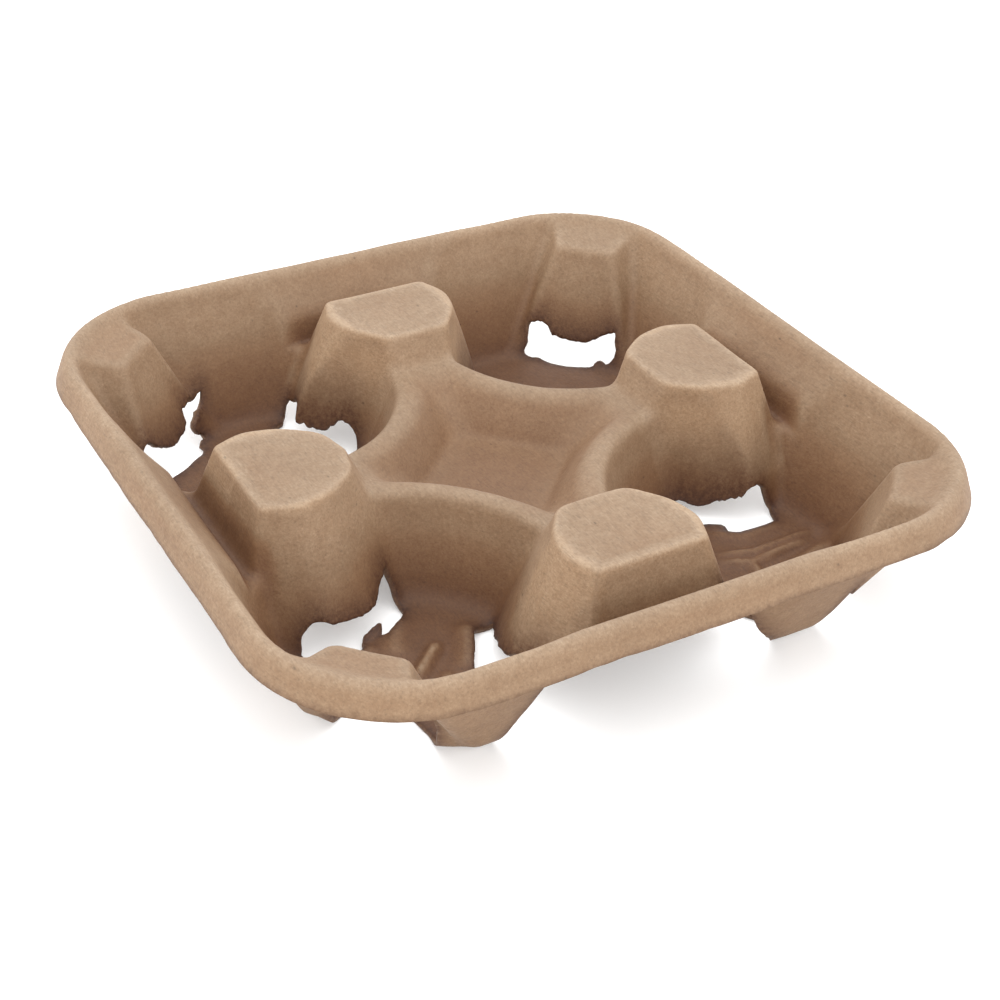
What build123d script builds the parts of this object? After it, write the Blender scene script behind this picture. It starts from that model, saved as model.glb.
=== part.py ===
from build123d import *
import math
import os

# Four-cup carrier tray, moulded in one piece from paper pulp.
# The tray is a shell of even thickness: its top face and its underside are the
# same form, one wall thickness apart. Origin: centre of the tray, on the table.

# ---- driving dimensions, millimetres --------------------------------------
SIDE = 215.0            # outer side of the square rim, at the flange's lower edge
HEIGHT = 44.5           # rim crest above the table
WALL = 2.0              # pulp thickness

FLANGE_Z = 36.5         # lower edge of the turned-down flange
FLANGE_DRAFT = 20.0     # the flange leans in towards the crest
RIM_R = 42.4            # corner radius of the rim at the flange's lower edge
CREST_OUT_ROUND = 2.6   # rounding of the crest's outer edge

SIDE_DRAFT = 22.0       # the side walls lean out by this much
SIDE_TOP_HALF = 101.3   # half width between the side walls at the crest
SIDE_TOP_R = 38.0       # corner radius there

LEDGE_Z = 31.5          # level of the saddles and of the grooves by the side walls
SADDLE_ROUND = 2.5      # rounding of the saddles' edges

WELL_C = 55.5           # cup wells are centred at (+-WELL_C, +-WELL_C)
WELL_R = 35.7           # well radius at its floor
WELL_DRAFT = 18.5       # lean of the well's wall
WELL_ROUND = 5.0        # rounding between a well's floor and wall
WELL_SIDE_ROUND = 6.0   # rounding where the cone meets a side wall
CUP_C = 50.0            # the cups stand at (+-CUP_C, +-CUP_C)

RECESS_Z = 18.5         # floor of the square recess in the middle
RECESS_HALF = 17.5      # half width of that floor, which is turned 45 degrees
RECESS_TOP_HALF = 27.0  # half width at the saddles
RECESS_TIP = 22.5       # corners of the floor, from the tray's centre
RECESS_TIP_W = 5.0      # half width of such a corner
RECESS_TOP_TIP = 42.0   # corners of the recess at the saddles
RECESS_TOP_TIP_W = 6.0
RECESS_ROUND = 3.0      # rounding between its floor and walls

PILLAR_Z = 41.5         # flat tops of the four pillars between the wells
PILLAR_IN = 50.0        # inner edge of the top, from the tray's centre
PILLAR_IN_W = 10.5      # half length of that edge
PILLAR_MID = 71.5       # where the top is widest
PILLAR_MID_W = 20.8     # half width there
PILLAR_OUT = 80.5       # outer edge of the top
PILLAR_OUT_W = 17.5     # half length of that edge
PILLAR_R = 3.5          # corner radius of the top's outline
PILLAR_ROUND = 2.6      # rounding of the top's edge
PILLAR_IN_DRAFT = 25.0  # lean of the face towards the middle
PILLAR_TAB_DRAFT = 15.0 # lean of the faces towards the cups
PILLAR_OUT_DRAFT = 20.0 # lean of the face towards the side wall

TAB_Z = 38.0            # top of the tab in each corner of the tray
TAB_IN = 41.3           # its inner edge, from the cup's centre
TAB_IN_W = 8.5          # half length of that edge
TAB_OUT = 58.0          # its outer end, under the rim
TAB_OUT_W = 13.0        # half width there
TAB_DRAFT = 20.0        # lean of its faces
TAB_R = 2.5
TAB_ROUND = 2.4

CORNER_SLOT_IN = 25.0   # under a corner tab the floor ends here, from the cup's centre
CORNER_SLOT_OUT = 48.0
CORNER_SLOT_W = 16.5    # half width of the slot at the table
CORNER_SLOT_Z = 11.5    # lower edge of the tab
CORNER_TAB_W = 9.0      # half width of the tab at that edge
CORNER_EAR_W = 13.5     # slits beside the tab end here
CORNER_EAR_Z = 16.0     # and run up to here

PILLAR_SLOT_AIM = 158.0 # direction of the tab from the cup's centre, degrees
PILLAR_SLOT_IN = 19.5   # under a pillar's tab the floor ends here, from the cup's centre
PILLAR_SLOT_OUT = 33.0
PILLAR_SLOT_W = 13.0    # half width of the slot at the table
PILLAR_SLOT_Z = 7.0     # lower edge of the tab
PILLAR_TAB_W = 9.0      # half width of the tab at that edge
PILLAR_EAR_W = 12.0     # slits beside the tab end here
PILLAR_EAR_Z = 12.0     # and run up to here

RIB_N = 12              # radial ribs of a well's floor, some cut off by the slots
RIB_W = 3.4
RIB_H = 1.2
RIB_IN = 6.0
RIB_OUT = 26.0

BASE_Z = -6.0           # the two forms are closed this far below the table


def run(angle):
    """Sideways run of a leaning face for one millimetre of height."""
    return math.tan(math.radians(angle))


def skin(t, angle):
    """Sideways shift of a leaning face that is moved by t along its normal."""
    return t / math.cos(math.radians(angle))


def moved_sides(points, shifts):
    """Corners of a polygon, anticlockwise, each side moved outwards by its shift."""
    n = len(points)
    sides = []
    for i in range(n):
        (x1, y1), (x2, y2) = points[i], points[(i + 1) % n]
        length = math.hypot(x2 - x1, y2 - y1)
        nx, ny = (y2 - y1) / length, -(x2 - x1) / length
        sides.append((nx, ny, nx * x1 + ny * y1 + shifts[i]))
    corners = []
    for i in range(n):
        (a1, b1, c1), (a2, b2, c2) = sides[i - 1], sides[i]
        det = a1 * b2 - a2 * b1
        corners.append(((c1 * b2 - c2 * b1) / det, (a1 * c2 - a2 * c1) / det))
    return corners


# pillar at the middle of the +Y side, and the draft of each of its sides
PILLAR_POINTS = [
    (-PILLAR_IN_W, PILLAR_IN),
    (PILLAR_IN_W, PILLAR_IN),
    (PILLAR_MID_W, PILLAR_MID),
    (PILLAR_OUT_W, PILLAR_OUT),
    (-PILLAR_OUT_W, PILLAR_OUT),
    (-PILLAR_MID_W, PILLAR_MID),
]
PILLAR_DRAFTS = [
    PILLAR_IN_DRAFT,
    PILLAR_TAB_DRAFT,
    PILLAR_OUT_DRAFT,
    PILLAR_OUT_DRAFT,
    PILLAR_OUT_DRAFT,
    PILLAR_TAB_DRAFT,
]

# corner tab, drawn along +X from the cup's centre and turned onto the diagonal
TAB_POINTS = [
    (TAB_IN, TAB_IN_W),
    (TAB_IN, -TAB_IN_W),
    (TAB_OUT, -TAB_OUT_W),
    (TAB_OUT, TAB_OUT_W),
]
TAB_DRAFTS = [TAB_DRAFT, TAB_DRAFT, TAB_DRAFT, TAB_DRAFT]


def form(t):
    """Solid below the tray's top face (t = 0) or below its underside (t = WALL)."""
    side_half = SIDE_TOP_HALF + skin(t, SIDE_DRAFT)
    side_r = SIDE_TOP_R + skin(t, SIDE_DRAFT)
    well_floor = WALL - t
    ledge = LEDGE_Z - t
    above = HEIGHT + 2.0

    # four wells, each a cone cut flat where it meets the side walls
    with BuildPart() as wells:
        with BuildSketch(Plane.XY.offset(well_floor)):
            with GridLocations(2 * WELL_C, 2 * WELL_C, 2, 2):
                Circle(WELL_R + skin(t, WELL_DRAFT) - t * run(WELL_DRAFT))
        extrude(amount=ledge + 0.5 - well_floor, taper=-WELL_DRAFT)
        with BuildSketch(Plane.XY.offset(above)):
            shift = (above - HEIGHT) * run(SIDE_DRAFT)
            RectangleRounded(2 * (side_half + shift), 2 * (side_half + shift), side_r + shift)
        extrude(amount=well_floor - above - 1.0, taper=SIDE_DRAFT, mode=Mode.INTERSECT)
        corners = [e for e in wells.edges() if e.bounding_box().size.Z > 20]
        fillet(corners, radius=WELL_SIDE_ROUND)
        fillet(wells.edges().group_by(Axis.Z)[0], radius=WELL_ROUND + t)

    # recess in the middle, its corners towards the pillars: a near-square floor,
    # and an upper edge that follows the round wells
    with BuildPart() as recess:
        recess_lean = math.degrees(math.atan2(RECESS_TOP_HALF - RECESS_HALF, LEDGE_Z - RECESS_Z))
        grow = skin(t, recess_lean) - t * run(recess_lean)
        for z, half, tip, tip_w in (
            (RECESS_Z - t, RECESS_HALF + grow, RECESS_TIP + grow, RECESS_TIP_W + grow),
            (ledge, RECESS_TOP_HALF + grow, RECESS_TOP_TIP + grow, RECESS_TOP_TIP_W + grow),
        ):
            shoulder = tip - 0.45 * tip_w
            mid = half / math.sqrt(2)
            with BuildSketch(Plane.XY.offset(z)):
                with BuildLine():
                    for k in range(4):
                        right, top, left, side, low = [
                            Vector(x, y).rotate(Axis.Z, 90 * k)
                            for x, y in (
                                (tip_w, shoulder), (0, tip), (-tip_w, shoulder), (-mid, mid), (-shoulder, tip_w)
                            )
                        ]
                        ThreePointArc(right, top, left)
                        ThreePointArc(left, side, low)
                make_face()
        loft(ruled=True)
        fillet(recess.edges().group_by(Axis.Z)[0], radius=RECESS_ROUND + t)

    # pillars, broader at the foot
    with BuildPart() as pillars:
        top = PILLAR_Z - t
        for z in (BASE_Z - 1.0, top):
            shifts = [(PILLAR_Z - z) * run(a) - skin(t, a) for a in PILLAR_DRAFTS]
            with BuildSketch(Plane.XY.offset(z)) as outline:
                with BuildLine():
                    Polyline(*moved_sides(PILLAR_POINTS, shifts), close=True)
                make_face()
                fillet(outline.vertices(), radius=max(PILLAR_R - t, 1.0) + (PILLAR_Z - z) * 0.1)
        loft(ruled=True)
        fillet(pillars.faces().sort_by(Axis.Z)[-1].edges(), radius=max(PILLAR_ROUND - t, 0.6))

    # tabs in the corners of the tray
    with BuildPart() as tabs:
        top = TAB_Z - t
        for z in (BASE_Z - 1.0, top):
            shifts = [(TAB_Z - z) * run(a) - skin(t, a) for a in TAB_DRAFTS]
            with BuildSketch(Plane.XY.offset(z)) as outline:
                with BuildLine():
                    Polyline(*moved_sides(TAB_POINTS, shifts), close=True)
                make_face()
                fillet(outline.vertices(), radius=max(TAB_R - t, 0.8) + (TAB_Z - z) * 0.06)
        loft(ruled=True)
        fillet(tabs.faces().sort_by(Axis.Z)[-1].edges(), radius=max(TAB_ROUND - t, 0.5))

    # all the open space above the sheet
    with BuildPart() as space:
        with BuildSketch(Plane.XY.offset(above)):
            shift = (above - HEIGHT) * run(SIDE_DRAFT)
            RectangleRounded(2 * (side_half + shift), 2 * (side_half + shift), side_r + shift)
        extrude(amount=ledge - above, taper=SIDE_DRAFT)
        add(wells.part)
        add(recess.part)
        with PolarLocations(0, 4):
            add(pillars.part, mode=Mode.SUBTRACT)
        with Locations(*[
            Location((CUP_C * math.sqrt(2) * math.cos(math.radians(a)),
                      CUP_C * math.sqrt(2) * math.sin(math.radians(a)), 0), (0, 0, a))
            for a in (45, 135, 225, 315)
        ]):
            add(tabs.part, mode=Mode.SUBTRACT)
        # saddles between the wells and the recess are rounded over
        if t == 0:
            saddles = [
                e for e in space.edges()
                if abs(e.bounding_box().min.Z - ledge) < 0.02 and abs(e.bounding_box().max.Z - ledge) < 0.02
                and 25 < math.hypot(e.center().X, e.center().Y) < 60
            ]
            fillet(saddles, radius=SADDLE_ROUND)

    # the solid below it, closed at the sides by the flange
    with BuildPart() as solid:
        half = SIDE / 2 - skin(t, FLANGE_DRAFT)
        with BuildSketch(Plane.XY.offset(FLANGE_Z)):
            RectangleRounded(2 * half, 2 * half, RIM_R - skin(t, FLANGE_DRAFT))
        extrude(amount=HEIGHT - t - FLANGE_Z, taper=FLANGE_DRAFT)
        if t == 0:
            fillet(solid.faces().sort_by(Axis.Z)[-1].edges(), radius=CREST_OUT_ROUND)
        with BuildSketch(Plane.XY.offset(BASE_Z)):
            if t == 0:
                RectangleRounded(SIDE, SIDE, RIM_R)
            else:
                Rectangle(SIDE + 20, SIDE + 20)
        extrude(amount=FLANGE_Z - BASE_Z)
        add(space.part, mode=Mode.SUBTRACT)
    return solid.part


top_form = form(0)
under_form = form(WALL)


def slot_profile(width, tab_z, tab_w, ear_w, ear_z):
    """Half of a slot's outline is mirrored: open at the table, a slit up each side of the tab."""
    half = [
        (width, BASE_Z),
        (width, 2.5),
        (ear_w + 1.0, 0.6 * ear_z),
        (ear_w, ear_z),
        (tab_w + 0.8, ear_z),
        (tab_w, tab_z),
    ]
    return half + [(-x, z) for x, z in reversed(half)]


CORNER_SLOT = slot_profile(CORNER_SLOT_W, CORNER_SLOT_Z, CORNER_TAB_W, CORNER_EAR_W, CORNER_EAR_Z)
PILLAR_SLOT = slot_profile(PILLAR_SLOT_W, PILLAR_SLOT_Z, PILLAR_TAB_W, PILLAR_EAR_W, PILLAR_EAR_Z)

with BuildPart() as tray:
    add(top_form)
    add(under_form, mode=Mode.SUBTRACT)

    # radial ribs on the floors of the wells
    with BuildSketch(Plane.XY.offset(WALL - 0.6)):
        with GridLocations(2 * CUP_C, 2 * CUP_C, 2, 2):
            with PolarLocations((RIB_IN + RIB_OUT) / 2, RIB_N, start_angle=15):
                SlotOverall(RIB_OUT - RIB_IN, RIB_W)
    extrude(amount=RIB_H + 0.6, taper=30)

    # slots under the corner tabs and under the tabs of the pillars
    for turn in range(4):
        a = 45 + 90 * turn
        centre = Vector(CUP_C * math.sqrt(2), 0, 0).rotate(Axis.Z, a)
        for aim, near, far, outline in (
            (a, CORNER_SLOT_IN, CORNER_SLOT_OUT, CORNER_SLOT),
            (a - 45 + PILLAR_SLOT_AIM, PILLAR_SLOT_IN, PILLAR_SLOT_OUT, PILLAR_SLOT),
            (a + 135 - PILLAR_SLOT_AIM - 90, PILLAR_SLOT_IN, PILLAR_SLOT_OUT, PILLAR_SLOT),
        ):
            out = Vector(1, 0, 0).rotate(Axis.Z, aim)
            face = Plane(origin=centre + out * near, x_dir=Vector(0, 1, 0).rotate(Axis.Z, aim), z_dir=out)
            with BuildSketch(face):
                with BuildLine():
                    Polyline(*outline, close=True)
                make_face()
            extrude(amount=far - near, mode=Mode.SUBTRACT)

tray.part.label = "tray"
os.makedirs("parts", exist_ok=True)
export_step(tray.part, "parts/tray.step")
print(tray.part.volume, len(tray.part.solids()), tray.part.is_valid, tray.part.bounding_box())
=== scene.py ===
# A four-cup carrier tray of moulded paper pulp, one sheet all through.
import math

import bpy
import numpy as np
from mathutils import Matrix, Vector


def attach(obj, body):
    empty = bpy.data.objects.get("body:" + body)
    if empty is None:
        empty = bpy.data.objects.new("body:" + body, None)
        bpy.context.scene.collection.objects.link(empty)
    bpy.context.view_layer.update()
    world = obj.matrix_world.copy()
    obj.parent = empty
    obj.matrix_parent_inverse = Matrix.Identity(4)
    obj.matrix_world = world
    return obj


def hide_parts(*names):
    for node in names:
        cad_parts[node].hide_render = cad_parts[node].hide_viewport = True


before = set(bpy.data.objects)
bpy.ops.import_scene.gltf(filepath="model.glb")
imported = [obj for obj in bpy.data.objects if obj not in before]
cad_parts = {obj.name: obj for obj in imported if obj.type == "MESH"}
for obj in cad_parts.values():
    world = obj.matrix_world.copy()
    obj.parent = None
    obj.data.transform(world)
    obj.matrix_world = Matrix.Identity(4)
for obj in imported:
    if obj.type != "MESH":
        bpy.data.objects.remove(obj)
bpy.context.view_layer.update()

# ---------------------------------------------------------------------------
# The form of the tray, in millimetres. air(x, y, z) is positive in the open
# space above the pulp sheet and negative below it, so the sheet's top face is
# where it is zero. Each feature is a signed distance; smax and smin join them
# with rounded edges, as wet pulp takes them on the mould.

SIDE_HALF = 107.5
RIM_R = 42.4
HEIGHT = 44.5
SHEET = 2.0
FLANGE_Z = 36.5


def tan(a):
    return math.tan(math.radians(a))


def cos(a):
    return math.cos(math.radians(a))


def smax(a, b, k):
    h = np.maximum(k - np.abs(a - b), 0.0) / k
    return np.maximum(a, b) + h * h * k * 0.25


def smin(a, b, k):
    return -smax(-a, -b, k)


class Noise:
    """Smooth lattice noise in space, from -1 to 1, the same on every run."""

    def __init__(self, seed):
        self.table = np.random.default_rng(seed).uniform(-1, 1, (32, 32, 32))

    def __call__(self, x, y, z, size):
        x, y, z = np.broadcast_arrays(x, y, z)
        out = 0
        cell, w = [], []
        for c in (x, y, z):
            c = c / size + 100.37
            i = np.floor(c).astype(int)
            t = c - i
            cell.append(i)
            w.append(t * t * t * (t * (t * 6 - 15) + 10))
        for a in (0, 1):
            for b in (0, 1):
                for c in (0, 1):
                    weight = (
                        (w[0] if a else 1 - w[0])
                        * (w[1] if b else 1 - w[1])
                        * (w[2] if c else 1 - w[2])
                    )
                    out = out + weight * self.table[
                        (cell[0] + a) % 32, (cell[1] + b) % 32, (cell[2] + c) % 32
                    ]
        return out


noise_a, noise_b, noise_c = Noise(11), Noise(23), Noise(37)


def rim_distance(x, y):
    """How far out a point lies, measured like the rim: 107.5 on the rim's outer edge."""
    core = SIDE_HALF - RIM_R
    qx, qy = np.abs(x) - core, np.abs(y) - core
    return (
        core
        + np.hypot(np.maximum(qx, 0), np.maximum(qy, 0))
        + np.minimum(np.maximum(qx, qy), 0)
    )


# the floor of a well is fluted: ridges as height, width and a line in plan
WELL_C, WELL_R, WELL_LEAN = 55.5, 35.7, 18.5
CUP_C = 50.0
RIDGES = (
    # near well
    (2.1, 4.2, (-46.0, -27.0), (-57.5, -47.5)),
    (2.5, 2.0, (-41.0, -43.2), (-56.5, -56.8)),
    (2.5, 3.6, (-30.5, -38.5), (-36.0, -50.0), (-42.5, -61.0)),
    (1.5, 3.2, (-57.0, -37.0), (-69.0, -44.0)),
    (1.7, 2.6, (-46.0, -54.0), (-50.0, -72.0)),
    # right well
    (1.3, 2.3, (50.0, -33.5), (61.5, -42.1), (80.0, -41.6)),
    (1.7, 1.8, (44.5, -44.6), (59.5, -49.8), (72.7, -49.2), (86.0, -48.2)),
    (1.9, 1.7, (44.0, -46.6), (55.7, -53.8), (68.4, -52.4), (82.0, -51.9)),
    (1.7, 2.0, (56.2, -51.0), (53.5, -64.0)),
    (1.9, 2.6, (60.0, -62.0), (84.0, -56.0)),
    (1.9, 2.6, (37.0, -42.0), (38.0, -66.0)),
    # far well
    (2.1, 2.4, (37.0, 38.0), (50.0, 49.0), (58.0, 59.0)),
    (2.3, 2.4, (42.0, 36.5), (58.0, 43.0), (72.0, 45.0)),
    (2.3, 2.4, (36.5, 43.0), (43.0, 57.0), (45.5, 70.0)),
    (1.9, 2.6, (47.0, 32.5), (80.0, 34.0)),
    (1.9, 2.6, (31.5, 46.0), (33.0, 75.0)),
    # left well
    (2.2, 2.3, (-37.0, 37.0), (-50.0, 47.5), (-59.0, 58.0)),
    (2.2, 2.4, (-41.0, 35.0), (-58.0, 41.0), (-72.0, 44.0)),
    (2.2, 2.4, (-36.0, 43.0), (-43.0, 57.0), (-45.0, 71.0)),
    (1.9, 2.6, (-45.0, 29.5), (-78.0, 32.5)),
    (1.9, 2.6, (-30.5, 44.0), (-32.5, 74.0)),
)


def well_floor(x, y):
    lift = np.zeros(np.broadcast(x, y).shape)
    for high, wide, *line in RIDGES:
        best, along, start = np.full(lift.shape, 1e9), np.zeros(lift.shape), 0.0
        for (x0, y0), (x1, y1) in zip(line, line[1:]):
            ex, ey = x1 - x0, y1 - y0
            long = math.hypot(ex, ey)
            t = np.clip(((x - x0) * ex + (y - y0) * ey) / long**2, 0, 1)
            d2 = (x - x0 - t * ex) ** 2 + (y - y0 - t * ey) ** 2
            nearer = d2 < best
            best = np.where(nearer, d2, best)
            along = np.where(nearer, start + t * long, along)
            start += long
        ends = np.clip(np.minimum(along, start - along) / (0.28 * start), 0, 1)
        lift = np.maximum(lift, high * ends * ends * (3 - 2 * ends) * np.exp(-best / (wide * wide)))
    return SHEET + 0.1 + lift


# edges of pulp that curl up or down beside a slot, as (x, y, height, width)
CURLS = ((-54.6, -30.6, 2.2, 2.6), (-65.0, 68.5, 1.8, 2.8))


# the pillar on the +Y side: its faces as (point, outward direction, lean)
PILLAR_TOP = 41.5


def pillar_faces(px, py, z, bent=0.0, nose=0.0):
    """px across the pillar, from its middle; py from the tray's centre. Positive outside."""
    ax = np.sqrt(px * px + 0.1)
    down = PILLAR_TOP - z
    inner = (ax * (0.035 + 0.2 * nose) - (py - 50.2 + 1.9 * nose) - down * tan(25)) * cos(25)
    cheek = ((ax - 18.0) * 0.793 - (py - 60.0) * 0.609 - down * (tan(9) + 0.22 * bent)) * cos(9)
    bow = (py - 66.0) ** 2 * 0.012
    tab = ((ax - 18.0) * 0.977 - (py - 60.0) * 0.212 + bow - 0.35 - down * (tan(21) + 0.03 * bent)) * cos(21)
    end = ((ax - 20.5) * 0.925 + (py - 71.5) * 0.381 - down * tan(20)) * cos(20)
    outer = (py - 80.4 - down * tan(17)) * cos(17)
    return inner, cheek, tab, end, outer


def pillar(px, py, z, bent=0.0, nose=0.0):
    inner, cheek, tab, end, outer = pillar_faces(px, py, z, bent, nose)
    d = smax(cheek, tab, 1.2)
    d = smax(d, inner, 2.4)
    d = smax(d, end, 1.4)
    d = smax(d, outer, 1.6)
    return smax(d, z - PILLAR_TOP - 0.05, 1.1)


TAB_TOP = 39.4


def corner_tab(ax, ay, z):
    """Tab in the corner of the tray, measured from the cup's centre along the diagonal."""
    p = (ax + ay) / math.sqrt(2) - CUP_C * math.sqrt(2)
    q = np.sqrt(((ax - ay) / math.sqrt(2)) ** 2 + 0.3)
    front = (42.0 - p - (TAB_TOP - z) * tan(19) - 0.006 * q * q) * cos(19)
    nx, ny = -0.40, 0.917
    flank = ((p - 42.0) * nx + (q - 9.8) * ny - (TAB_TOP - z) * tan(23)) * cos(23)
    d = smax(front, flank, 2.4)
    return smax(d, z - TAB_TOP - 0.1 - 0.20 * (p - 42.0), 1.6)


def recess(ax, ay, z):
    """Square recess in the middle, its corners towards the pillars."""
    up = np.clip((z - 18.5) / 13.0, 0.0, 1.6)
    s = (ax + ay) / math.sqrt(2)
    c = (ax - ay) / math.sqrt(2)
    side = (17.8 + 9.2 * up + c * c * 0.5 * (0.003 + 0.0143 * up) - s) * cos(35)
    tip = (23.0 + 19.0 * up - np.maximum(ax, ay)) * cos(52)
    return smin(smin(side, tip, 2.6), z - 18.5, 1.8)


def ledge(ax, ay, v):
    """Level of the saddles, and of the grooves between pillars and side walls."""
    m = np.maximum(ax, ay)
    t = np.clip((m - 60.0) / 18.0, 0, 1)
    low = 31.5 - 7.3 * t * t * (3 - 2 * t)
    side = smin((v - 88.4) * 3.0 + 24.2, (v - 90.8) * 1.08 + 31.6, 1.0)
    return smax(low, side, 0.8)


def air(x, y, z, floor=None):
    ax, ay = np.abs(x), np.abs(y)
    if floor is None:
        floor = well_floor(x, y)
    v = rim_distance(x, y)
    r = np.hypot(ax - WELL_C, ay - WELL_C)
    cone = (WELL_R + (z - SHEET) * tan(WELL_LEAN) - r) * cos(WELL_LEAN)
    well = smin(cone, z - floor, 4.8)
    out = smax((z - ledge(ax, ay, v)) * 0.9, recess(ax, ay, z), 2.6)
    out = smax(out, well, 2.3)
    wall = (101.3 - (HEIGHT - z) * tan(22) - v) * cos(22)
    out = smin(out, wall, 3.8)
    # one tab is bent in further than the rest
    bent = ((x < 0) & (y < 0)).astype(float)
    out = smin(out, pillar(ax, ay, z, bent), 2.4)
    nose = ((x < 0) & (ax > ay)).astype(float)
    out = smin(out, pillar(ay, ax, z, bent, nose), 2.4)
    out = smin(out, corner_tab(ax, ay, z), 3.8)
    shell = smax(
        z - HEIGHT - 0.3,
        (v - SIDE_HALF + 0.3 + (z - FLANGE_Z) * tan(20)) * cos(20),
        3.0,
    )
    return smax(out, shell, 2.8)


def uneven(x, y):
    """Shifts that make the form as dried: slightly uneven all over."""
    t = np.clip((107.0 - rim_distance(x, y)) / 12.0, 0, 1)
    calm = 0.3 + 0.7 * t
    dx = calm * (0.45 * noise_a(x, y, 0.0, 46.0) + 0.16 * noise_b(x, y, 0.0, 15.0))
    dy = calm * (0.45 * noise_b(x + 71.0, y, 5.0, 46.0) + 0.16 * noise_c(x, y + 33.0, 0.0, 15.0))
    dz = 0.25 * noise_c(x, y, 9.0, 38.0) + 0.10 * noise_a(x + 50.0, y, 7.0, 12.0)
    for cx, cy, high, wide in CURLS:
        dz = dz - high * np.exp(-((x - cx) ** 2 + (y - cy) ** 2) / (wide * wide))
    return dx, dy, dz


def height(x, y):
    dx, dy, dz = uneven(x, y)
    floor = well_floor(x + dx, y + dy)
    lo, hi = np.full(x.shape, -30.0), np.full(x.shape, 52.0)
    for _ in range(26):
        mid = 0.5 * (lo + hi)
        above = air(x + dx, y + dy, mid + dz, floor) > 0
        hi = np.where(above, mid, hi)
        lo = np.where(above, lo, mid)
    return 0.5 * (lo + hi)


def normals(x, y, z):
    e = 0.12
    dx, dy, dz = uneven(x, y)
    x, y, z = x + dx, y + dy, z + dz
    floor = well_floor(x, y)
    g = np.stack(
        [
            air(x + e, y, z) - air(x - e, y, z),
            air(x, y + e, z) - air(x, y - e, z),
            air(x, y, z + e, floor) - air(x, y, z - e, floor),
        ],
        axis=1,
    )
    return g / np.linalg.norm(g, axis=1, keepdims=True)
# ---------------------------------------------------------------------------
# Slots: torn openings under the tabs. Each is an outline in plan. Corner slots
# are given as (along the diagonal, across it) and pillar slots as (distance,
# direction in degrees), both from the centre of the cup; z is where the outline
# lies on the sheet, so the part on a wall is the lower edge of the tab.

CORNER_T = [
    (31.7, 16.9), (31.9, 15.2), (32.5, 11.8), (32.3, 9.5), (31.9, 8.4), (31.5, 7.9), (31.6, 5.4),
    (31.6, 2.2), (31.5, -1.1), (31.5, -4.7), (31.8, -7.1), (32.2, -8.8), (32.3, -11.8), (32.1, -14.3),
    (31.2, -14.4), (30.1, -15.3), (29.1, -14.9), (28.6, -13.3), (28.4, -12.1), (28.9, -10.7),
    (29.2, -9.4), (28.6, -8.3), (27.5, -8.0), (26.8, -3.7), (26.2, 1.2), (26.3, 6.2), (27.4, 11.0),
    (27.2, 13.5), (27.5, 16.2), (28.0, 16.5), (29.4, 15.8), (30.9, 16.6),
]
CORNER_L = [
    (34.0, 17.0), (33.5, 15.0), (32.6, 8.7), (31.8, 2.5), (31.4, -1.1), (31.5, -3.9), (31.4, -6.9),
    (31.8, -9.2), (32.6, -9.4), (33.4, -10.0), (32.9, -11.2), (32.8, -13.5), (33.8, -19.5), (33.4, -22.0),
    (32.4, -23.4), (31.9, -21.8), (31.2, -17.7), (30.5, -15.3), (30.7, -12.8), (30.2, -11.8), (29.4, -12.4),
    (28.6, -14.4), (27.2, -15.1), (28.1, -12.5), (27.8, -10.5), (26.4, -10.5), (25.7, -6.7), (25.8, -3.2),
    (27.0, 1.0), (28.1, 8.4), (28.2, 15.0), (31.0, 17.0),
]
CORNER_B = [
    (35.2, 0.0), (35.0, 4.0), (35.5, 8.0), (34.8, 11.0), (33.6, 13.0), (31.0, 14.0), (28.4, 12.6),
    (25.2, 10.0), (22.6, 6.6), (20.4, 3.6), (19.8, 0.5), (20.4, -4.0), (20.1, -8.0), (20.8, -12.0),
    (22.4, -13.8), (25.5, -14.6), (29.0, -14.8), (32.6, -14.6), (34.4, -12.6), (35.0, -10.5), (35.5, -6.0),
]
CORNER_R = [
    (33.0, 15.5), (33.6, 18.0), (35.5, 20.8), (36.4, 22.0), (34.6, 22.4), (32.5, 22.0), (28.8, 21.0),
    (26.6, 18.8), (25.6, 15.0), (26.0, 11.0), (26.3, 6.2), (26.2, 1.2), (26.4, -3.0), (26.2, -7.0),
    (26.8, -10.5), (28.2, -11.5), (29.2, -9.5), (30.0, -6.5), (30.8, -3.0), (31.4, 1.0), (31.6, 5.4),
    (31.6, 7.9), (32.3, 9.5), (32.5, 11.8),
]
PILLAR_R = [
    (28.6, 80), (26.9, 74), (26.1, 64), (25.8, 54), (26.2, 46), (27.0, 42), (28.1, 40), (31.8, 36.3),
    (32.8, 35), (32.9, 33), (32.9, 30), (28.2, 23), (23.3, 26), (19.1, 33), (16.0, 44), (15.3, 53),
    (19.4, 57), (20.0, 72), (19.6, 85), (21.5, 96), (25.0, 100), (28.6, 97), (30.4, 92), (30.0, 85),
]
PILLAR_L = [
    (38.6, 58.4), (33.9, 53), (29.2, 50.2), (28.1, 50), (26.9, 50.5), (26.3, 45), (26.1, 35), (26.6, 27),
    (27.8, 21), (28.7, 17), (29.5, 13), (30.3, 9), (30.7, 6.5), (29.8, 3), (26.5, 0), (22.5, 1), (20.0, 8),
    (18.6, 18), (18.6, 33), (17.6, 40), (18.0, 48), (20.6, 57), (25.0, 64), (29.4, 66), (31.0, 65.5),
    (33.3, 61.7), (36.0, 61), (38.0, 60.2),
]
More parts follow.
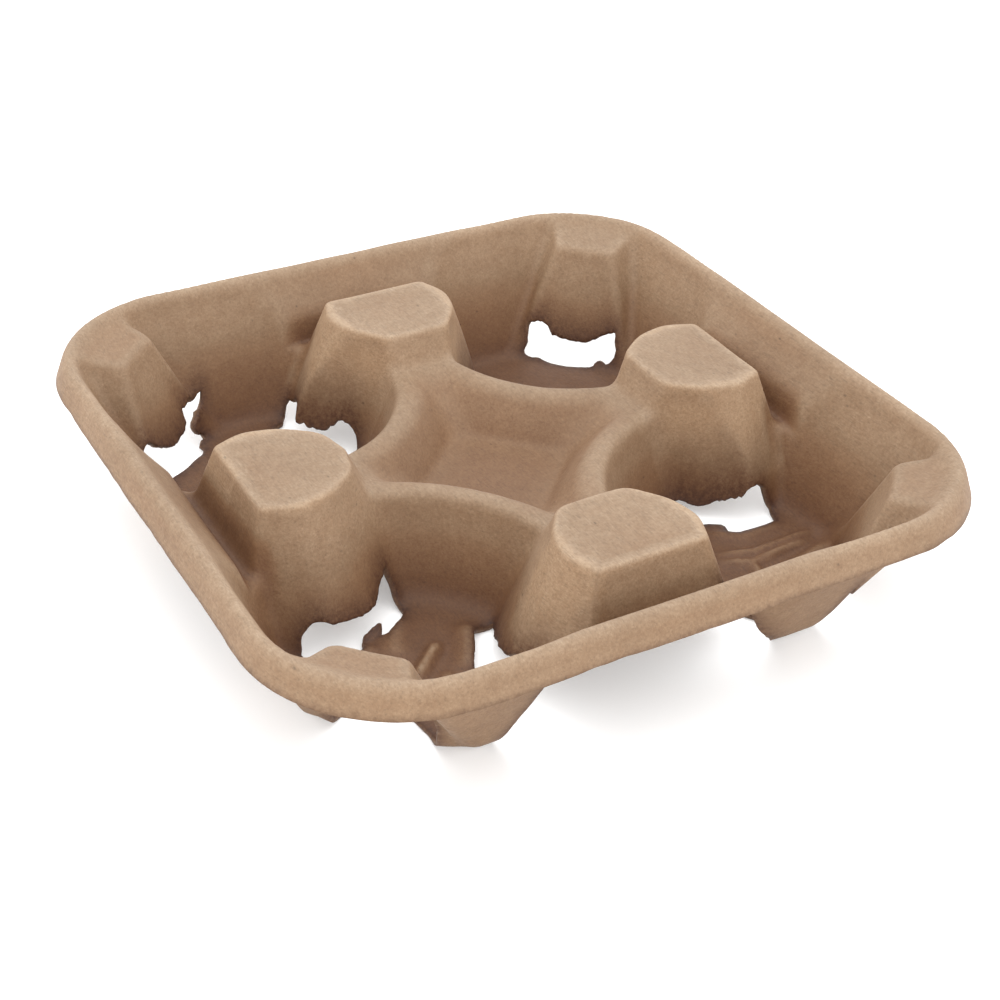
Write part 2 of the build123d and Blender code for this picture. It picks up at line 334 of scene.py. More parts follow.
PILLAR_F = [
    (33.5, 51.5), (38.5, 50.5), (44.0, 49.5), (50.0, 48), (52.5, 49.5), (49.0, 52.5), (45.6, 56), (41.0, 62.5),
    (37.2, 70.5), (34.2, 73.5), (31.0, 77), (26.7, 75.5), (22.4, 63), (19.8, 52), (17.8, 44), (18.6, 33), (18.6, 18),
    (20.0, 8), (22.5, 1), (26.5, 0), (29.8, 3), (30.7, 6.5), (30.3, 9), (29.5, 13), (28.7, 17), (27.8, 21),
    (26.6, 27), (26.1, 35), (26.3, 45), (26.9, 50.5), (28.1, 50), (29.2, 50.2),
]
PILLAR_B = [
    (32.9, 146), (31.6, 144), (29.7, 142), (27.2, 140), (24.3, 136), (22.0, 127), (20.8, 117), (20.5, 105),
    (22.4, 97), (25.1, 91), (30.4, 82.2), (29.0, 78.6), (26.3, 76.8), (23.4, 75), (17.8, 83.2), (14.6, 104),
    (16.2, 108.5), (17.6, 102.5), (18.5, 99.5), (18.6, 107.5), (18.5, 118), (17.9, 125), (16.4, 135),
    (17.4, 139), (22.0, 147), (27.5, 151), (32.4, 149.5),
]
PILLAR_B2 = [
    (26.0, 14.5), (23.7, 8), (21.4, -2), (20.5, -12.5), (20.1, -22), (20.9, -32), (22.6, -41), (26.5, -48),
    (33.4, -51.1), (42.7, -57.4), (48.7, -63.2), (47.8, -70.4), (44.7, -76.4), (41.3, -78.8), (37.3, -82.3),
    (34.6, -85), (30.1, -86), (23.3, -81), (17.4, -65), (14.6, -46), (13.6, -30), (14.9, -8), (18.4, 13),
    (20.5, 17), (23.0, 17),
]


def from_diagonal(outline, sx, sy, flip=1):
    d = np.array(outline, float)
    p, q = d[:, 0], d[:, 1] * flip
    return np.stack(
        [sx * CUP_C + (p * sx - q * sy) / math.sqrt(2), sy * CUP_C + (p * sy + q * sx) / math.sqrt(2)],
        axis=1,
    )


def from_polar(outline, sx, sy, turn=0, mirror=None):
    """mirror: the direction about which the outline is mirrored, in degrees, or None."""
    d = np.array(outline, float)
    a = d[:, 1] + turn if mirror is None else 2 * mirror - d[:, 1]
    a = np.radians(a)
    return np.stack([sx * CUP_C + d[:, 0] * np.cos(a), sy * CUP_C + d[:, 0] * np.sin(a)], axis=1)


SLOTS = [
    # far, left, near and right corners
    from_diagonal(CORNER_T, 1, 1),
    from_diagonal(CORNER_L, -1, 1),
    from_diagonal(CORNER_B, -1, -1),
    from_diagonal(CORNER_R, 1, -1, -1),
    # pillar slots of the right, left, near and far wells
    from_polar(PILLAR_R, 1, -1),
    from_polar(PILLAR_F, 1, -1, turn=180),
    from_polar(PILLAR_L, -1, 1),
    from_polar(PILLAR_R, -1, 1, turn=180),
    from_polar(PILLAR_B, -1, -1),
    from_polar(PILLAR_B2, -1, -1),
    from_polar(PILLAR_R, 1, 1, mirror=0),
    from_polar(PILLAR_L, 1, 1, mirror=90),
]


def outline_distance(pts, outline):
    """Signed distance to an outline in plan: positive outside it."""
    a, b = outline, np.roll(outline, -1, axis=0)
    best = np.full(len(pts), 1e9)
    inside = np.zeros(len(pts), bool)
    for (ax, ay), (bx, by) in zip(a, b):
        dx, dy = bx - ax, by - ay
        t = np.clip(((pts[:, 0] - ax) * dx + (pts[:, 1] - ay) * dy) / (dx * dx + dy * dy), 0, 1)
        best = np.minimum(best, np.hypot(pts[:, 0] - ax - t * dx, pts[:, 1] - ay - t * dy))
        hit = (ay > pts[:, 1]) != (by > pts[:, 1])
        if dy != 0:
            inside ^= hit & (pts[:, 0] < ax + (pts[:, 1] - ay) / dy * dx)
    return np.where(inside, -best, best)


def slot_level(pts):
    """Positive on the pulp, negative in a slot; a little ragged."""
    out = np.full(len(pts), 9.0)
    for outline in SLOTS:
        lo, hi = outline.min(0) - 8.0, outline.max(0) + 8.0
        near = ((pts > lo) & (pts < hi)).all(1)
        if near.any():
            out[near] = np.minimum(out[near], outline_distance(pts[near], outline))
    near = np.abs(out) < 3.0
    if near.any():
        q = pts[near]
        out[near] += 0.16 * noise_a(q[:, 0], q[:, 1], 3.0, 2.6) + 0.12 * noise_b(q[:, 0], q[:, 1], 8.0, 1.1)
    return out


def rim_level(pts):
    """Positive above the flange's lower edge, which is a little uneven."""
    v = rim_distance(pts[:, 0], pts[:, 1])
    a = np.arctan2(pts[:, 1], pts[:, 0]) * 107.0
    low = FLANGE_Z + 0.35 * noise_a(a, 0.0, 4.0, 17.0) + 0.3 * noise_b(a, 9.0, 4.0, 4.0)
    out = np.full(len(pts), 4.0)
    outer = v > 104.5
    out[outer] = (height(pts[outer, 0], pts[outer, 1]) - low[outer]) * 0.36
    return out
# ---------------------------------------------------------------------------
# Triangles over the plan of the tray, split until they follow the form, cut at
# the rim's lower edge and at the slots, then given their thickness.


def edges_of(tris):
    """Unique edges and, for each triangle, the three edges opposite nothing: ab, bc, ca."""
    pairs = np.sort(np.concatenate([tris[:, [0, 1]], tris[:, [1, 2]], tris[:, [2, 0]]]), axis=1)
    uniq, inverse = np.unique(pairs, axis=0, return_inverse=True)
    return uniq, inverse.reshape(3, -1).T


def start_grid(step):
    rows = int(math.ceil(2 * 110.0 / (step * 0.866))) + 1
    cols = int(math.ceil(2 * 110.0 / step)) + 2
    j, i = np.meshgrid(np.arange(rows), np.arange(cols), indexing="ij")
    pts = np.stack([-110.5 + (i + 0.5 * (j % 2)) * step, -110.0 + j * step * 0.866], axis=2)
    tris = []
    for r in range(rows - 1):
        a = r * cols + np.arange(cols - 1)
        up = a + cols
        if r % 2 == 0:
            tris += [np.stack([a, a + 1, up], 1), np.stack([a + 1, up + 1, up], 1)]
        else:
            tris += [np.stack([a, up + 1, up], 1), np.stack([a, a + 1, up + 1], 1)]
    return pts.reshape(-1, 2), np.concatenate(tris)


def compact(pts, tris, *extra):
    used, new = np.unique(tris, return_inverse=True)
    return (pts[used], new.reshape(-1, 3)) + tuple(e[used] for e in extra)


def split_edges(tris, marked, edge_of, first_new):
    """Splits triangles at the midpoints of marked edges; marked edges get new vertices in order."""
    new_id = np.full(len(marked), -1)
    new_id[marked] = first_new + np.arange(marked.sum())
    mids = new_id[edge_of]
    count = (mids >= 0).sum(1)
    out = [tris[count == 0]]
    for n_rot in range(3):
        # one marked edge, rotated so that it is the first
        sel = (count == 1) & (mids[:, n_rot] >= 0)
        t, m = np.roll(tris[sel], -n_rot, 1), mids[sel, n_rot]
        out += [np.stack([t[:, 0], m, t[:, 2]], 1), np.stack([m, t[:, 1], t[:, 2]], 1)]
        # two marked edges, rotated so that the unmarked one is the last
        sel = (count == 2) & (mids[:, n_rot] < 0)
        t = np.roll(tris[sel], -(n_rot + 1), 1)
        m = np.roll(mids[sel], -(n_rot + 1), 1)
        out += [
            np.stack([t[:, 1], m[:, 1], m[:, 0]], 1),
            np.stack([t[:, 0], m[:, 0], m[:, 1]], 1),
            np.stack([t[:, 0], m[:, 1], t[:, 2]], 1),
        ]
    sel = count == 3
    t, m = tris[sel], mids[sel]
    out += [
        np.stack([t[:, 0], m[:, 0], m[:, 2]], 1),
        np.stack([m[:, 0], t[:, 1], m[:, 1]], 1),
        np.stack([m[:, 2], m[:, 1], t[:, 2]], 1),
        m,
    ]
    return np.concatenate(out)


def refine(pts, tris, longest, shortest, bend, near_slots):
    z = height(pts[:, 0], pts[:, 1])
    n = normals(pts[:, 0], pts[:, 1], z)
    for _ in range(14):
        uniq, edge_of = edges_of(tris)
        p3 = np.column_stack([pts, z])
        a, b = uniq[:, 0], uniq[:, 1]
        length = np.linalg.norm(p3[a] - p3[b], axis=1)
        turn = np.arccos(np.clip((n[a] * n[b]).sum(1), -1, 1))
        mid = 0.5 * (pts[a] + pts[b])
        limit = np.where(near_slots(mid), longest * 0.55, longest)
        marked = (length > limit) | ((turn > bend) & (length > shortest(mid, 0.5 * (z[a] + z[b]))))
        if not marked.any():
            break
        # a split triangle is split at its longest edge too, which keeps triangles well shaped
        for _ in range(30):
            tri_len = length[edge_of]
            top = edge_of[np.arange(len(tris)), tri_len.argmax(1)]
            need = marked[edge_of].any(1) & ~marked[top]
            if not need.any():
                break
            marked[top[need]] = True
        new = mid[marked]
        tris = split_edges(tris, marked, edge_of, len(pts))
        nz = height(new[:, 0], new[:, 1])
        nn = normals(new[:, 0], new[:, 1], nz)
        pts = np.vstack([pts, new])
        z = np.concatenate([z, nz])
        n = np.vstack([n, nn])
    return pts, tris, z, n


def relax(pts, tris, rounds, fixed):
    """Evens out the triangles by sliding vertices along the sheet."""
    for _ in range(rounds):
        z = height(pts[:, 0], pts[:, 1])
        n = normals(pts[:, 0], pts[:, 1], z)
        p3 = np.column_stack([pts, z])
        total, count = np.zeros_like(p3), np.zeros(len(pts))
        for i, j in ((0, 1), (1, 2), (2, 0)):
            for a, b in ((i, j), (j, i)):
                np.add.at(total, tris[:, a], p3[tris[:, b]])
                np.add.at(count, tris[:, a], 1)
        move = total / np.maximum(count, 1)[:, None] - p3
        move -= (move * n).sum(1)[:, None] * n
        move[fixed] = 0
        pts = pts + 0.45 * move[:, :2]
    return pts


def cut(pts, tris, level):
    """Keeps the part where level is positive, with new vertices where it is zero."""
    for _ in range(2):
        h = level(pts)
        uniq, _e = edges_of(tris)
        size = np.full(len(pts), 1e9)
        d = np.linalg.norm(pts[uniq[:, 0]] - pts[uniq[:, 1]], axis=1)
        np.minimum.at(size, uniq[:, 0], d)
        np.minimum.at(size, uniq[:, 1], d)
        near = np.abs(h) < 0.35 * size
        q = pts[near]
        e = 0.02
        gx = (level(q + [e, 0]) - level(q - [e, 0])) / (2 * e)
        gy = (level(q + [0, e]) - level(q - [0, e])) / (2 * e)
        g2 = np.maximum(gx * gx + gy * gy, 0.05)
        step = np.stack([-h[near] * gx / g2, -h[near] * gy / g2], 1)
        reach = np.linalg.norm(step, axis=1)
        step *= np.minimum(1, 0.4 * size[near] / np.maximum(reach, 1e-9))[:, None]
        pts = pts.copy()
        pts[near] = q + step
    h = level(pts)
    h[np.abs(h) < 0.02] = 0.0
    s = np.sign(h)
    tri_s = s[tris]
    keep = (tri_s >= 0).all(1) & (tri_s > 0).any(1)
    mixed = (tri_s > 0).any(1) & (tri_s < 0).any(1)
    out = [tris[keep]]
    uniq, edge_of = edges_of(tris[mixed])
    cross = s[uniq[:, 0]] * s[uniq[:, 1]] < 0
    a, b = pts[uniq[cross, 0]], pts[uniq[cross, 1]]
    ha, hb = h[uniq[cross, 0]], h[uniq[cross, 1]]
    for _ in range(12):
        t = (ha / (ha - hb))[:, None]
        t = np.clip(t, 0.1, 0.9)
        m = a + t * (b - a)
        hm = level(m)
        left = np.sign(hm) == np.sign(ha)
        a, ha = np.where(left[:, None], m, a), np.where(left, hm, ha)
        b, hb = np.where(left[:, None], b, m), np.where(left, hb, hm)
    new_id = np.full(len(uniq), -1)
    new_id[cross] = len(pts) + np.arange(cross.sum())
    pts = np.vstack([pts, 0.5 * (a + b)])
    rows = []
    for t, e in zip(tris[mixed], edge_of):
        ring = []
        for k in range(3):
            if s[t[k]] >= 0:
                ring.append(t[k])
            if new_id[e[k]] >= 0:
                ring.append(new_id[e[k]])
        for k in range(1, len(ring) - 1):
            rows.append((ring[0], ring[k], ring[k + 1]))
    if rows:
        out.append(np.array(rows))
    return compact(pts, np.concatenate(out))


def largest_part(pts, tris):
    """Drops loose bits that a cut leaves behind."""
    mark = np.arange(len(pts))
    while True:
        low = mark[tris].min(1)
        new = mark.copy()
        for k in range(3):
            np.minimum.at(new, tris[:, k], low)
        new = new[new]
        if (new == mark).all():
            break
        mark = new
    names, counts = np.unique(mark[tris[:, 0]], return_counts=True)
    return compact(pts, tris[mark[tris[:, 0]] == names[counts.argmax()]])


def border(tris):
    """Directed edges that only one triangle has."""
    d = np.concatenate([tris[:, [0, 1]], tris[:, [1, 2]], tris[:, [2, 0]]])
    key = np.sort(d, axis=1)
    _u, inverse, count = np.unique(key, axis=0, return_inverse=True, return_counts=True)
    return d[count[inverse.ravel()] == 1]


def neighbours_mean(values, uniq, count):
    total = np.zeros_like(values)
    np.add.at(total, uniq[:, 0], values[uniq[:, 1]])
    np.add.at(total, uniq[:, 1], values[uniq[:, 0]])
    return total / (count if values.ndim == 1 else count[:, None])


def relief(pts):
    """How far the sheet stands above (+) or below (-) what is close by and further off."""
    step, reach = 1.0, 114
    line = np.arange(-reach, reach + 1) * step
    gx, gy = np.meshgrid(line, line, indexing="ij")
    h = height(gx.ravel(), gy.ravel()).reshape(gx.shape)
    h = np.maximum(h, 33.0 * (rim_distance(gx, gy) > 100.0))
    h = np.maximum(h, 0.0)
    found = []
    k = np.arange(-60, 61)
    for sigma in (4.0, 20.0):
        w = np.exp(-0.5 * (k / sigma) ** 2)
        w /= w.sum()
        wide = np.pad(h, 60, mode="edge")
        wide = np.apply_along_axis(lambda r: np.convolve(r, w, "valid"), 0, wide)
        wide = np.apply_along_axis(lambda r: np.convolve(r, w, "valid"), 1, wide)
        found.append(h - wide)
    fx = np.clip(pts[:, 0] / step + reach, 0, 2 * reach - 1.001)
    fy = np.clip(pts[:, 1] / step + reach, 0, 2 * reach - 1.001)
    i, j = fx.astype(int), fy.astype(int)
    u, w = fx - i, fy - j
    return [
        d[i, j] * (1 - u) * (1 - w)
        + d[i + 1, j] * u * (1 - w)
        + d[i, j + 1] * (1 - u) * w
        + d[i + 1, j + 1] * u * w
        for d in found
    ]


def lit_pillar_faces(x, y, z):
    """1 on the pillar faces that get painted light, 0 off them."""
    ax, ay = np.abs(x), np.abs(y)
    bent = ((x < 0) & (y < 0)).astype(float)
    out = np.zeros(len(x))
    for px, py in ((ax, ay), (ay, ax)):
        inner, cheek, tab, end, outer = pillar_faces(px, py, z, bent)
        rest, side = np.max([inner, cheek, outer], axis=0), np.maximum(tab, end)
        face = np.clip((side - rest) / 1.2, 0, 1) * np.clip(3.5 - np.abs(side), 0, 1)
        out = np.maximum(out, face * np.clip((z - 9.0) / 6.0, 0, 1))
        rest = np.max([inner, cheek, end, tab], axis=0)
        face = np.clip((outer - rest) / 1.2, 0, 1) * np.clip(3.5 - np.abs(outer), 0, 1)
        out = np.maximum(out, 0.7 * face * np.clip((z - 31.0) / 4.0, 0, 1))
    return out


def groove_shade(x, y, z):
    """Painted shade goes here: 1 low between a pillar and the side wall, 0 away from there."""
    ax, ay = np.abs(x), np.abs(y)
    across, out = np.minimum(ax, ay), np.maximum(ax, ay)
    deep = np.clip((35.5 - z) / 4.5, 0, 1) * np.clip((28.0 - across) / 6.0, 0, 1)
    deep = deep * np.clip((out - 79.0) / 3.0, 0, 1) * np.clip((94.0 - out) / 2.5, 0, 1)
    return np.where((ay > ax) & (y < 0), 0.3, 1.0) * deep


def openness(x, y, z):
    """Open space close round each point (above zero on ridges), and further off above it."""
    dx, dy, dz = uneven(x, y)
    x, y, z = x + dx, y + dy, z + dz
    close, above = np.zeros(len(x)), np.zeros(len(x))
    count = 22
    for i in range(count):
        up = 1.0 - (2.0 * i + 1.0) / count
        out = math.sqrt(1.0 - up * up)
        turn = i * math.pi * (3.0 - math.sqrt(5.0))
        ex, ey = out * math.cos(turn), out * math.sin(turn)
        close += np.clip(air(x + 3.5 * ex, y + 3.5 * ey, z + 3.5 * up) / 3.5, -1, 1) / count
        if up > 0:
            above += np.clip(air(x + 8 * ex, y + 8 * ey, z + 8 * up) / 8, -1, 1) / (count // 2)
    return close, above


def smallest(pts, z):
    """Triangles get this small where the sheet bends: smallest on the pillars' sharp top edges."""
    v = rim_distance(pts[:, 0], pts[:, 1])
    out = np.where(v > 95.0, 2.1, 1.6)
    out = np.where(np.abs(slot_level(pts)) < 1.4, 1.0, out)
    return np.where((v < 86.0) & (z > 39.4), 0.8, out)


# base level of the painted light and shade
PAINTED_SHADING_BASE = 0.10


def build_sheet():
    """Vertices in millimetres, triangles, and what the colour of each vertex goes by."""
    pts, tris = start_grid(3.0)
    v = rim_distance(pts[:, 0], pts[:, 1])
    pts, tris = compact(pts, tris[(v[tris] < 110.5).all(1)])
    pts, tris, z, n = refine(
        pts, tris, 3.1, smallest, math.radians(20), lambda p: np.abs(slot_level(p)) < 1.6
    )
    outer = np.zeros(len(pts), bool)
    outer[np.unique(border(tris))] = True
    pts = relax(pts, tris, 3, outer)
    pts, tris = cut(pts, tris, rim_level)
    pts, tris = cut(pts, tris, slot_level)
    pts, tris = largest_part(pts, tris)
    x, y = pts[:, 0], pts[:, 1]
    z = height(x, y)
    n = normals(x, y, z)
    top = np.column_stack([x, y, z])

    # the sheet is thinner on its sharpest convex edges, so that its underside doesn't fold
    uniq, _e = edges_of(tris)
    a, b = uniq[:, 0], uniq[:, 1]
    count = np.maximum(np.bincount(uniq.ravel(), minlength=len(top)), 1)
    along = top[b] - top[a]
    curve = ((n[b] - n[a]) * along).sum(1) / np.maximum((along * along).sum(1), 1e-9)
    sharp = np.full(len(top), 1e-3)
    np.maximum.at(sharp, a, curve)
    np.maximum.at(sharp, b, curve)
    thick = np.minimum(SHEET, 0.64 / sharp)
    for _ in range(6):
        thick = np.minimum(thick, neighbours_mean(thick, uniq, count))
    smooth = n
    for _ in range(3):
        smooth = 0.5 * smooth + 0.5 * neighbours_mean(smooth, uniq, count)
    smooth = smooth / np.linalg.norm(smooth, axis=1, keepdims=True)
    under = top - thick[:, None] * smooth
    under[:, 2] = np.maximum(under[:, 2], 0.0)

    # edges all round: top, a worn ridge half way, underside
    ring = border(tris)
    own = np.unique(ring)
    index = np.full(len(top), -1)
    index[own] = np.arange(len(own))
    out_dir = np.zeros((len(top), 3))
    for i, j in ring:
        t = top[j] - top[i]
        side = np.cross(t, n[i] + n[j])
        side /= max(np.linalg.norm(side), 1e-9)
        out_dir[i] += side
        out_dir[j] += side
    out_dir = out_dir[own] / np.maximum(np.linalg.norm(out_dir[own], axis=1, keepdims=True), 1e-9)
    rough = 0.5 + 0.5 * noise_c(top[own, 0], top[own, 1], top[own, 2], 1.3)
    middle = 0.5 * (top[own] + under[own]) + out_dir * (0.12 + 0.3 * rough)[:, None]
    middle[:, 2] = np.maximum(middle[:, 2], 0.0)
    count_top = len(top)
    verts = np.vstack([top, under, middle])
    i, j = ring[:, 0], ring[:, 1]
    mi, mj = 2 * count_top + index[i], 2 * count_top + index[j]
    ui, uj = i + count_top, j + count_top
    sides = np.concatenate(
        [
            np.stack([j, i, mi], 1),
            np.stack([j, mi, mj], 1),
            np.stack([mj, mi, ui], 1),
            np.stack([mj, ui, uj], 1),
        ]
    )
    faces = np.concatenate([tris, tris[:, ::-1] + count_top, sides])
    verts[:, :2] = np.clip(verts[:, :2], -SIDE_HALF, SIDE_HALF)
    verts[:, 2] = np.clip(verts[:, 2], 0.0, HEIGHT)

    # distance to the torn edges of the slots, along the plan
    torn = np.exp(-np.maximum(slot_level(pts), 0.0) / 2.3)
    rim = np.exp(-np.maximum(rim_level(pts), 0.0) / 0.5) * 0.6
    torn = np.maximum(torn, rim)
    torn = np.concatenate([torn, torn, np.ones(len(own))])
    # painted light and shade: the colour is made paler where the sheet is open and stands up, darker in hollows,
    # grooves and low down, where shade falls
    close, above = openness(x, y, z)
    low = np.clip((6.5 - z) / 4.0, 0.0, 1.0)
    near, far = relief(pts)
    painted_shading = PAINTED_SHADING_BASE + 0.032 * far + 1.23 * close - 1.21 * above - 0.25 * low
    painted_shading += 1.0 * np.maximum(close - 0.05, 0.0) + 0.055 * np.clip(near + 1.8, -7.0, 0.0)
    tabs, steep = lit_pillar_faces(x, y, z), np.clip(1.0 - n[:, 2], 0.0, 1.0)
    painted_shading += 0.34 * tabs - 0.70 * groove_shade(x, y, z) + 0.01 * np.clip(far, -10.0, 5.0)
    ax, ay, v = np.abs(x), np.abs(y), rim_distance(x, y)
    # walls: painted shade low down and in the middle recess, painted light high up outside
    post = np.minimum(np.abs(pillar(ax, ay, z)), np.abs(pillar(ay, ax, z)))
    post = np.clip(3.5 - post, 0, 1) * np.clip((41.0 - z) / 4.0, 0, 1)
    painted_shading -= 0.20 * steep * np.clip((24.0 - z) / 8.0, 0, 1) * (1.0 - post)
    # painted shade on the bent tab's face, painted light on the other pillars' walls
    bent = (x < y) & (x < 0) & (y < 0)
    painted_shading += np.where(bent, -0.22 * tabs, 0.16 * steep * post)
    painted_shading -= 0.34 * steep * np.clip(2.5 - np.abs(recess(ax, ay, z)), 0, 1) * np.clip((31.0 - z) / 3.0, 0, 1)
    painted_shading += 0.16 * steep * np.clip((z - 25.0) / 5.0, 0, 1) * np.clip((40.5 - z) / 3.0, 0, 1) * (v > 89.0)
    # painted shade on the flat tops of the corner tabs, all but the far one
    flat = np.clip((ax + ay - 156.0) / 4.0, 0, 1) * np.clip((z - 37.5) / 1.5, 0, 1) * np.clip((99.0 - v) / 2.0, 0, 1)
    painted_shading -= 0.16 * flat * np.where((x > 0) & (y > 0), 0.0, 1.0)
    # painted light on the flutes of the well floors, painted shade between them
    dx, dy, dz = uneven(x, y)
    flutes = well_floor(x + dx, y + dy) - SHEET - 0.1
    painted_shading += 0.22 * (flutes - 0.8) * np.clip((9.0 - z) / 4.0, 0.0, 1.0)
    # the underside and the edge ring get a fixed painted shade
    painted_shading = np.concatenate([painted_shading, np.full(len(top), -0.12), np.full(len(own), -0.2)])
    steep = np.concatenate([steep, steep, np.full(len(own), 0.5)])
    return verts, faces, torn, painted_shading, steep


# ---------------------------------------------------------------------------
# the mesh


def make_tray():
    verts, faces, torn, painted_shading, steep = build_sheet()
    mesh = bpy.data.meshes.new("tray_sheet")
    mesh.vertices.add(len(verts))
    mesh.vertices.foreach_set("co", (verts * 0.001).astype(np.float32).ravel())
    mesh.loops.add(len(faces) * 3)
    mesh.loops.foreach_set("vertex_index", faces.astype(np.int32).ravel())
    mesh.polygons.add(len(faces))
    mesh.polygons.foreach_set("loop_start", np.arange(0, len(faces) * 3, 3, dtype=np.int32))
    mesh.polygons.foreach_set("use_smooth", np.ones(len(faces), bool))
    mesh.update()
    mesh.validate()
    for name, values in (("torn", torn), ("painted_shading", np.clip(0.5 + painted_shading / 2.4, 0, 1)), ("steep", steep)):
        layer = mesh.attributes.new(name, "FLOAT", "POINT")
        layer.data.foreach_set("value", values.astype(np.float32))
    obj = bpy.data.objects.new("tray_sheet", mesh)
    bpy.context.scene.collection.objects.link(obj)
    print("sheet", len(verts), "vertices", len(faces), "triangles", verts.min(0), verts.max(0))
    return obj


# ---------------------------------------------------------------------------
# the pulp


def mix(tree, blend, factor, a, b):
    n = tree.nodes.new("ShaderNodeMix")
    n.data_type = "RGBA"
    n.blend_type = blend
    for socket, value in ((n.inputs[0], factor), (n.inputs[6], a), (n.inputs[7], b)):
        if isinstance(value, (int, float, tuple)):
            socket.default_value = value
        else:
            tree.links.new(value, socket)
    return n.outputs[2]


def ramp(tree, value, *stops):
    n = tree.nodes.new("ShaderNodeValToRGB")
    tree.links.new(value, n.inputs[0])
    while len(n.color_ramp.elements) < len(stops):
        n.color_ramp.elements.new(0.5)
    for e, (pos, col) in zip(n.color_ramp.elements, stops):
        e.position = pos
        e.color = (col, col, col, 1) if isinstance(col, (int, float)) else col
    return n.outputs[0]


def pulp():
    mat = bpy.data.materials.new("pulp")
    mat.use_nodes = True
    t = mat.node_tree
    bsdf = t.nodes["Principled BSDF"]
    bsdf.inputs["Roughness"].default_value = 0.7
    bsdf.inputs["Specular IOR Level"].default_value = 0.5
    coord = t.nodes.new("ShaderNodeTexCoord").outputs["Object"]

    def noise(scale, detail, rough=0.5, distortion=0.0, where=coord):
        n = t.nodes.new("ShaderNodeTexNoise")
        n.inputs["Scale"].default_value = scale
        n.inputs["Detail"].default_value = detail
        n.inputs["Roughness"].default_value = rough
        n.inputs["Distortion"].default_value = distortion
        t.links.new(where, n.inputs["Vector"])
        return n.outputs["Fac"]

    def stretched(sx, sy, sz, rx, ry, rz):
        n = t.nodes.new("ShaderNodeMapping")
        n.inputs["Scale"].default_value = (sx, sy, sz)
        n.inputs["Rotation"].default_value = (rx, ry, rz)
        t.links.new(coord, n.inputs["Vector"])
        return n.outputs["Vector"]

    clouds = ramp(t, noise(34, 3, 0.55), (0.32, (0.178, 0.116, 0.070, 1)), (0.68, (0.200, 0.132, 0.081, 1)))
    mottle = ramp(t, noise(260, 3, 0.6), (0.30, (0.94, 0.91, 0.88, 1)), (0.70, (1.05, 1.07, 1.09, 1)))
    colour = mix(t, "MULTIPLY", 1.0, clouds, mottle)
    grain = ramp(t, noise(1100, 2, 0.6), (0.30, (0.89, 0.86, 0.83, 1)), (0.70, (1.10, 1.13, 1.15, 1)))
    colour = mix(t, "MULTIPLY", 1.0, colour, grain)
    # fine fibres, lying every way
    for size, rot in (
        (2300, (0.3, 0.2, 0.4)),
        (2100, (1.2, 0.7, 2.0)),
        (2500, (0.5, 1.3, 1.1)),
        (2200, (2.1, 0.4, 2.8)),
    ):
        fibres = noise(size, 0, 0.5, 0.6, stretched(1.0, 0.17, 1.0, *rot))
        dark = ramp(t, fibres, (0.22, 0.88), (0.34, 1.0))
        colour = mix(t, "MULTIPLY", 1.0, colour, dark)
        light = ramp(t, fibres, (0.68, 0.0), (0.80, 1.0))
        colour = mix(t, "SCREEN", light, colour, (0.020, 0.016, 0.012, 1))
    # a few dark flecks
    cells = t.nodes.new("ShaderNodeTexVoronoi")
    cells.inputs["Scale"].default_value = 210
    cells.inputs["Randomness"].default_value = 1.0
    t.links.new(stretched(1.0, 0.6, 1.0, 0.4, 0.9, 0.2), cells.inputs["Vector"])
    fleck = ramp(t, cells.outputs["Distance"], (0.050, 0.62), (0.095, 1.0))
    some = ramp(t, cells.outputs["Color"], (0.28, 1.0), (0.32, 0.0))
    colour = mix(t, "MULTIPLY", some, colour, fleck)
    # painted light and shade: what stands up is painted paler, what lies low and in hollows painted darker
    painted_shading = t.nodes.new("ShaderNodeAttribute")
    painted_shading.attribute_name = "painted_shading"
    painted_shading_tint = ramp(
        t,
        painted_shading.outputs["Fac"],
        (0.0, (0.48, 0.30, 0.17, 1)),
        (0.167, (0.625, 0.449, 0.299, 1)),
        (0.292, (0.765, 0.618, 0.475, 1)),
        (0.396, (0.900, 0.800, 0.690, 1)),
        (0.50, (1.035, 1.035, 1.01, 1)),
        (0.604, (1.20, 1.25, 1.29, 1)),
        (0.70, (1.42, 1.50, 1.55, 1)),
    )
    colour = mix(t, "MULTIPLY", 1.0, colour, painted_shading_tint)
    # steep walls are painted browner, as the pulp looks in shade
    steep = t.nodes.new("ShaderNodeAttribute")
    steep.attribute_name = "steep"
    colour = mix(t, "MULTIPLY", steep.outputs["Fac"], colour, (1.08, 0.95, 0.82, 1))
    # torn edges are darker, redder and fibrous
    torn = t.nodes.new("ShaderNodeAttribute")
    torn.attribute_name = "torn"
    ragged = ramp(t, noise(700, 3, 0.7), (0.30, 0.35), (0.62, 1.0))
    edge = ramp(t, torn.outputs["Fac"], (0.16, 0.0), (0.80, 1.0))
    edge = mix(t, "MULTIPLY", 1.0, edge, ragged)
    colour = mix(t, "MULTIPLY", edge, colour, (0.42, 0.29, 0.20, 1))
    t.links.new(colour, bsdf.inputs["Base Color"])

    fuzz = t.nodes.new("ShaderNodeBump")
    fuzz.inputs["Strength"].default_value = 0.35
    fuzz.inputs["Distance"].default_value = 0.00025
    t.links.new(noise(1500, 3, 0.6), fuzz.inputs["Height"])
    pitted = t.nodes.new("ShaderNodeBump")
    pitted.inputs["Strength"].default_value = 0.30
    pitted.inputs["Distance"].default_value = 0.0006
    t.links.new(noise(380, 2, 0.5), pitted.inputs["Height"])
    t.links.new(fuzz.outputs["Normal"], pitted.inputs["Normal"])
    t.links.new(pitted.outputs["Normal"], bsdf.inputs["Normal"])
    return mat


tray = make_tray()
tray.data.materials.append(pulp())
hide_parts("tray")
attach(tray, "root")

# ---------------------------------------------------------------------------
# floor, light, camera


